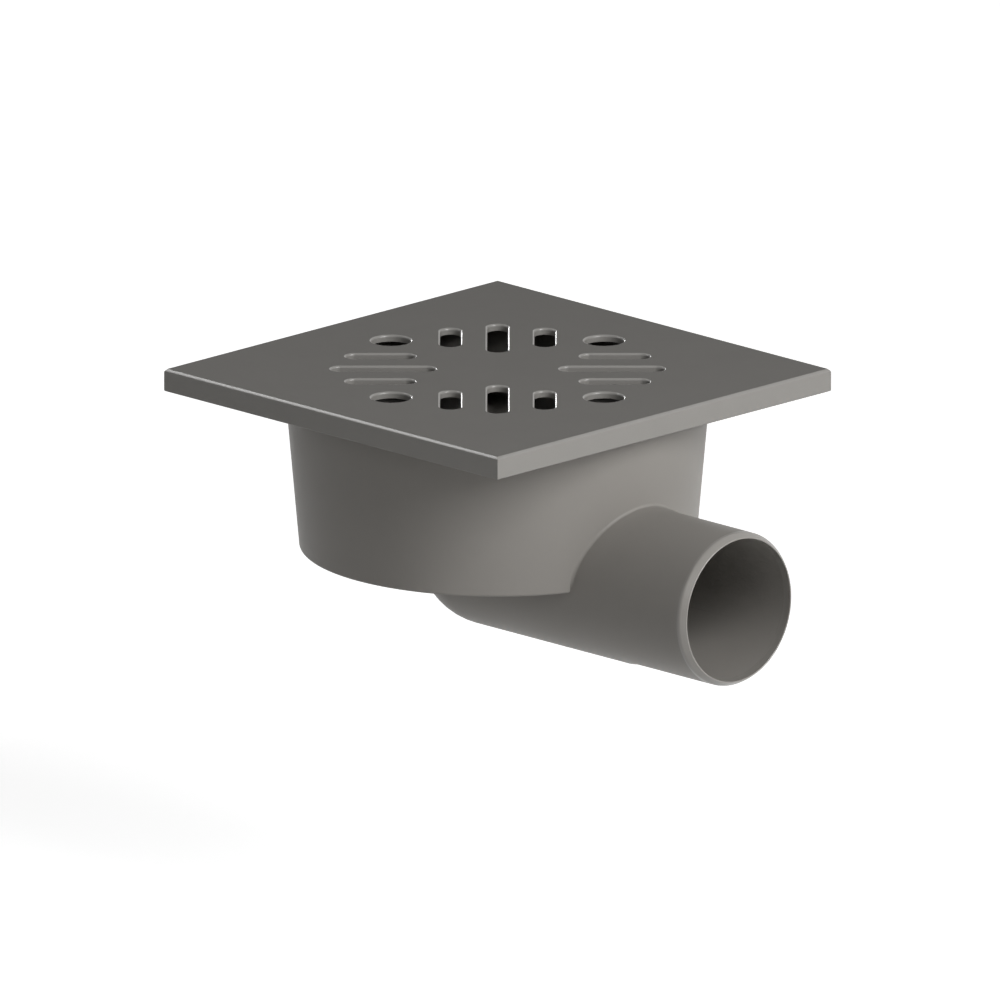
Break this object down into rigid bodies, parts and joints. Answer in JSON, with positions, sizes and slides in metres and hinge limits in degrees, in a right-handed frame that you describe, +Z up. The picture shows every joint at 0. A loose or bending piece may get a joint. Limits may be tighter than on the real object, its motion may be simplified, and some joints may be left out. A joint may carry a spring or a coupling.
{
  "type": "corner floor drain",
  "caption": "Square plastic floor drain with a slotted cover, round tapered pot, loose trap bell and a level side outlet spigot.",
  "frame": {"origin": "centre of the cover's top face, level with the finished floor and on the pot's axis", "axes": "+Z up out of the floor, +X along the outlet spigot, away from the pot"},
  "size_m": [0.1835, 0.15, 0.0839],
  "materials": {
    "body_plastic": "moulded grey plastic, satin",
    "cover_plastic": "moulded grey plastic, satin",
    "bell_plastic": "moulded grey plastic, satin"
  },
  "bodies": {
    "root": {"drain_body": "body_plastic", "cover_plate": "cover_plastic", "trap_bell": "bell_plastic"}
  },
  "joints": []
}
